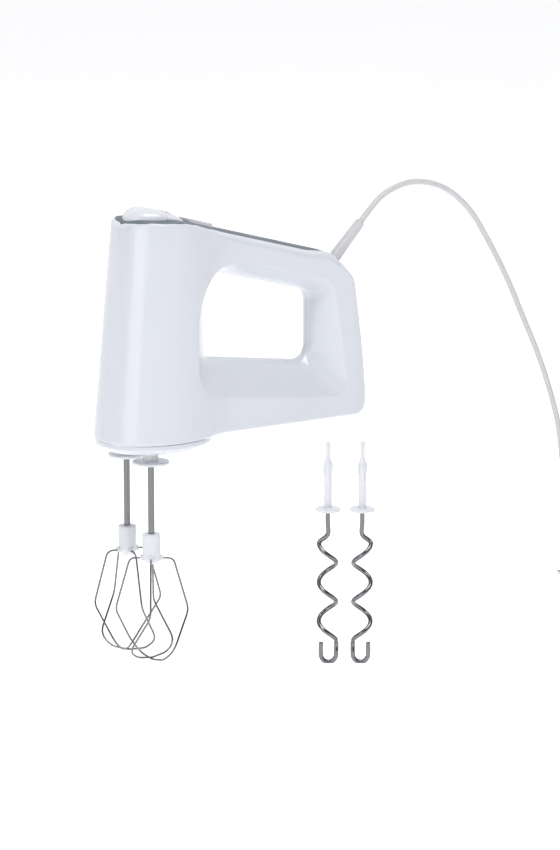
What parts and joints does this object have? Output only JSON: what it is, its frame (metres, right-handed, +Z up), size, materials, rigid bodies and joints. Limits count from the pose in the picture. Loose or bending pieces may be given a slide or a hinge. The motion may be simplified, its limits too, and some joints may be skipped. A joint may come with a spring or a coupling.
{
  "type": "hand mixer",
  "caption": "Electric hand mixer with a tapered motor column, a looped handle, wire whisks, spare dough hooks and a mains lead.",
  "frame": {"origin": "middle of the hand grip, on the centre plane", "axes": "+X back along the handle towards the cord, -X the front of the motor column, +Y the user's right, +Z up along the spindles"},
  "size_m": [0.5138, 0.1353, 0.3836],
  "materials": {
    "shell": "glossy, cool white",
    "panel": "satin grey",
    "white_trim": "glossy white",
    "inner_plastic": "moulded, matte",
    "gear_plastic": "acetal, satin",
    "dark_plastic": "black, matte",
    "board": "green circuit board",
    "cord_pvc": "soft off-white PVC",
    "chrome": "bright chrome plating",
    "steel": "machined",
    "laminations": "stacked steel sheet",
    "bronze": "sintered bronze",
    "copper": "enamelled copper",
    "bracket": "die cast"
  },
  "bodies": {
    "body": {"left_housing": "shell", "right_housing": "shell", "top_panel": "panel", "base_cover": "white_trim", "eject_spring": "steel", "control_cover": "white_trim", "turbo_spring": "steel", "control_board": "board", "turbo_microswitch": "dark_plastic", "gearbox_base": "inner_plastic", "gearbox_cover": "inner_plastic", "gearbox_posts": "steel", "spindle_bushes": "bronze", "compound_axle": "steel", "stator_core": "laminations", "field_coils": "copper", "lower_bracket": "bracket", "upper_bracket": "bracket", "motor_bearings": "steel", "brush_holders": "bronze", "carbon_brushes": "dark_plastic", "motor_screws": "steel", "housing_screws": "steel", "cord_clamp": "inner_plastic", "strain_relief": "cord_pvc", "mains_cord": "cord_pvc", "cord_coil": "cord_pvc", "coil_tie": "dark_plastic", "plug_body": "cord_pvc", "plug_pins": "steel"},
    "rotor": {"motor_shaft": "steel", "rotor_core": "laminations", "rotor_winding": "copper", "commutator": "copper", "cooling_fan": "dark_plastic", "motor_pinion": "bronze"},
    "compound": {"compound_gear": "gear_plastic"},
    "left_drive": {"left_spindle": "gear_plastic", "left_spindle_gear": "gear_plastic", "left_detent_ring": "steel"},
    "right_drive": {"right_spindle": "gear_plastic", "right_spindle_gear": "gear_plastic", "right_detent_ring": "steel"},
    "left_whisk": {"left_whisk_shank": "white_trim", "left_whisk_rod": "chrome", "left_whisk_hub": "white_trim", "left_whisk_wires": "chrome"},
    "right_whisk": {"right_whisk_shank": "white_trim", "right_whisk_rod": "chrome", "right_whisk_hub": "white_trim", "right_whisk_wires": "chrome"},
    "ejector": {"eject_button": "white_trim", "eject_yoke": "inner_plastic"},
    "speed_control": {"speed_slider": "white_trim"},
    "turbo_control": {"turbo_button": "white_trim"},
    "left_hook": {"left_hook_shank": "white_trim", "left_hook_rod": "chrome"},
    "right_hook": {"right_hook_shank": "white_trim", "right_hook_rod": "chrome"}
  },
  "joints": [
    {"name": "rotor_spin", "type": "hinge", "parent": "body", "child": "rotor", "pos_m": [-0.0962, 0, -0.051], "axis": [0, 0, 1], "continuous": true},
    {"name": "compound_spin", "type": "hinge", "parent": "body", "child": "compound", "pos_m": [-0.085, -0.018, -0.121], "axis": [0, 0, 1], "continuous": true},
    {"name": "left_spindle_spin", "type": "hinge", "parent": "body", "child": "left_drive", "pos_m": [-0.11, -0.018, -0.127], "axis": [0, 0, 1], "continuous": true},
    {"name": "right_spindle_spin", "type": "hinge", "parent": "body", "child": "right_drive", "pos_m": [-0.11, 0.018, -0.127], "axis": [0, 0, 1], "continuous": true},
    {"name": "eject_press", "type": "slide", "parent": "body", "child": "ejector", "axis": [0, 0, -1], "range_m": [0, 0.006], "stiffness_N_per_m": 500, "springref_m": -0.006, "deforming": ["eject_spring"]},
    {"name": "left_whisk_eject", "type": "slide", "parent": "left_drive", "child": "left_whisk", "axis": [0, 0, -1], "range_m": [0, 0.006]},
    {"name": "right_whisk_eject", "type": "slide", "parent": "right_drive", "child": "right_whisk", "axis": [0, 0, -1], "range_m": [0, 0.006]},
    {"name": "speed_slide", "type": "slide", "parent": "body", "child": "speed_control", "axis": [1, 0, 0], "range_m": [0, 0.008]},
    {"name": "turbo_press", "type": "slide", "parent": "body", "child": "turbo_control", "axis": [0, 0, -1], "range_m": [0, 0.002], "stiffness_N_per_m": 600, "springref_m": -0.002, "deforming": ["turbo_spring"]},
    {"name": "left_hook_lift", "type": "slide", "parent": "body", "child": "left_hook", "axis": [0, 0, 1], "range_m": [0, 0.06]},
    {"name": "right_hook_lift", "type": "slide", "parent": "body", "child": "right_hook", "axis": [0, 0, 1], "range_m": [0, 0.06]}
  ],
  "couplings": [
    {"joint": "compound_spin", "follows": "rotor_spin", "ratio": -0.29268},
    {"joint": "left_spindle_spin", "follows": "rotor_spin", "ratio": 0.11382},
    {"joint": "right_spindle_spin", "follows": "rotor_spin", "ratio": -0.11382},
    {"joint": "left_whisk_eject", "follows": "eject_press", "ratio": 1},
    {"joint": "right_whisk_eject", "follows": "eject_press", "ratio": 1}
  ]
}
